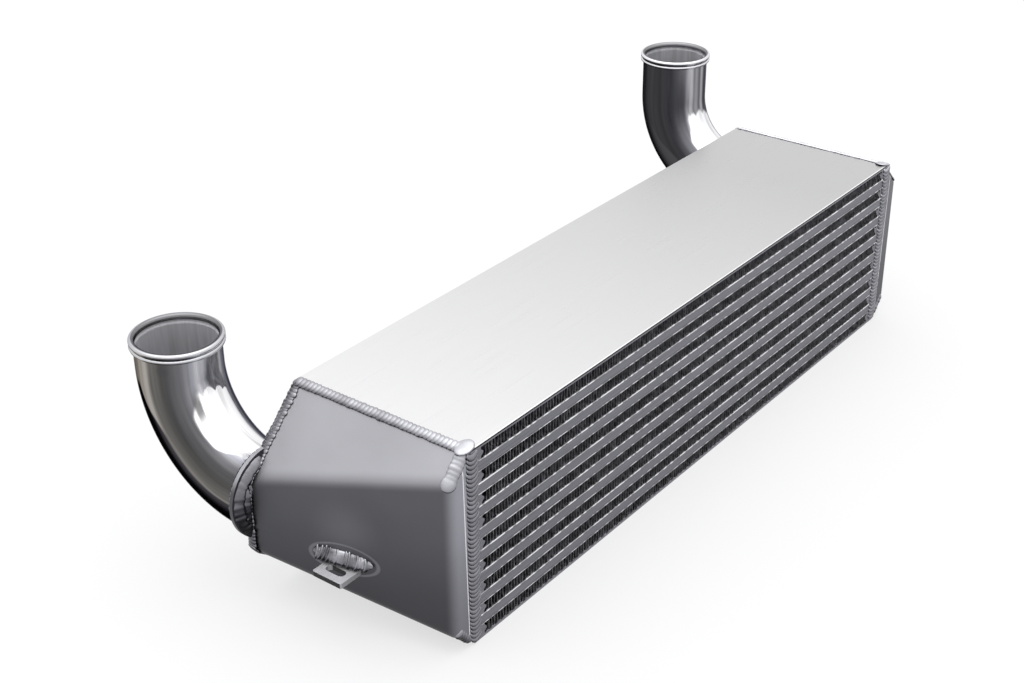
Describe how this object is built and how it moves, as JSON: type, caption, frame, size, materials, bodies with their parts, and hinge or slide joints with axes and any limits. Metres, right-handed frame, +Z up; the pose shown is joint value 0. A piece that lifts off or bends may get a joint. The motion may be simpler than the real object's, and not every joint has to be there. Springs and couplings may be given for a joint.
{
  "type": "intercooler",
  "caption": "Bar and plate intercooler: a finned core between two folded end tanks, each with an upswept hose pipe at its back and a slotted mounting tab.",
  "frame": {"origin": "centre of the core's underside", "axes": "+X along the core from the near tank to the far tank, -Y out of the finned front, +Z up"},
  "size_m": [0.7572, 0.2919, 0.2066],
  "materials": {
    "core_plate": "satin rolled plate",
    "core_bar": "brazed, matt",
    "parting_sheet": "brazed, bright edges",
    "air_fin": "dark mill finish",
    "turbulator": "mill finish",
    "tank_sheet": "mill finish sheet",
    "pipe": "polished",
    "tab": "machined",
    "weld_bead": "bright rippled weld"
  },
  "bodies": {
    "root": {"air_fins_1": "air_fin", "air_fins_2": "air_fin", "air_fins_3": "air_fin", "air_fins_4": "air_fin", "air_fins_5": "air_fin", "air_fins_6": "air_fin", "air_fins_7": "air_fin", "air_fins_8": "air_fin", "air_fins_9": "air_fin", "core_bottom_plate": "core_plate", "core_top_plate": "core_plate", "far_back_panel": "tank_sheet", "far_core_weld": "weld_bead", "far_end_bars": "core_bar", "far_pipe": "pipe", "far_pipe_weld": "weld_bead", "far_tab": "tab", "far_tab_weld": "weld_bead", "far_tank": "tank_sheet", "front_bar_1": "core_bar", "front_bar_2": "core_bar", "front_bar_3": "core_bar", "front_bar_4": "core_bar", "front_bar_5": "core_bar", "front_bar_6": "core_bar", "front_bar_7": "core_bar", "front_bar_8": "core_bar", "near_back_panel": "tank_sheet", "near_core_weld": "weld_bead", "near_end_bars": "core_bar", "near_pipe": "pipe", "near_pipe_weld": "weld_bead", "near_tab": "tab", "near_tab_weld": "weld_bead", "near_tank": "tank_sheet", "parting_sheets_1": "parting_sheet", "parting_sheets_2": "parting_sheet", "parting_sheets_3": "parting_sheet", "parting_sheets_4": "parting_sheet", "parting_sheets_5": "parting_sheet", "parting_sheets_6": "parting_sheet", "parting_sheets_7": "parting_sheet", "parting_sheets_8": "parting_sheet", "rear_bar_1": "core_bar", "rear_bar_2": "core_bar", "rear_bar_3": "core_bar", "rear_bar_4": "core_bar", "rear_bar_5": "core_bar", "rear_bar_6": "core_bar", "rear_bar_7": "core_bar", "rear_bar_8": "core_bar", "turbulator_1": "turbulator", "turbulator_2": "turbulator", "turbulator_3": "turbulator", "turbulator_4": "turbulator", "turbulator_5": "turbulator", "turbulator_6": "turbulator", "turbulator_7": "turbulator", "turbulator_8": "turbulator"}
  },
  "joints": []
}
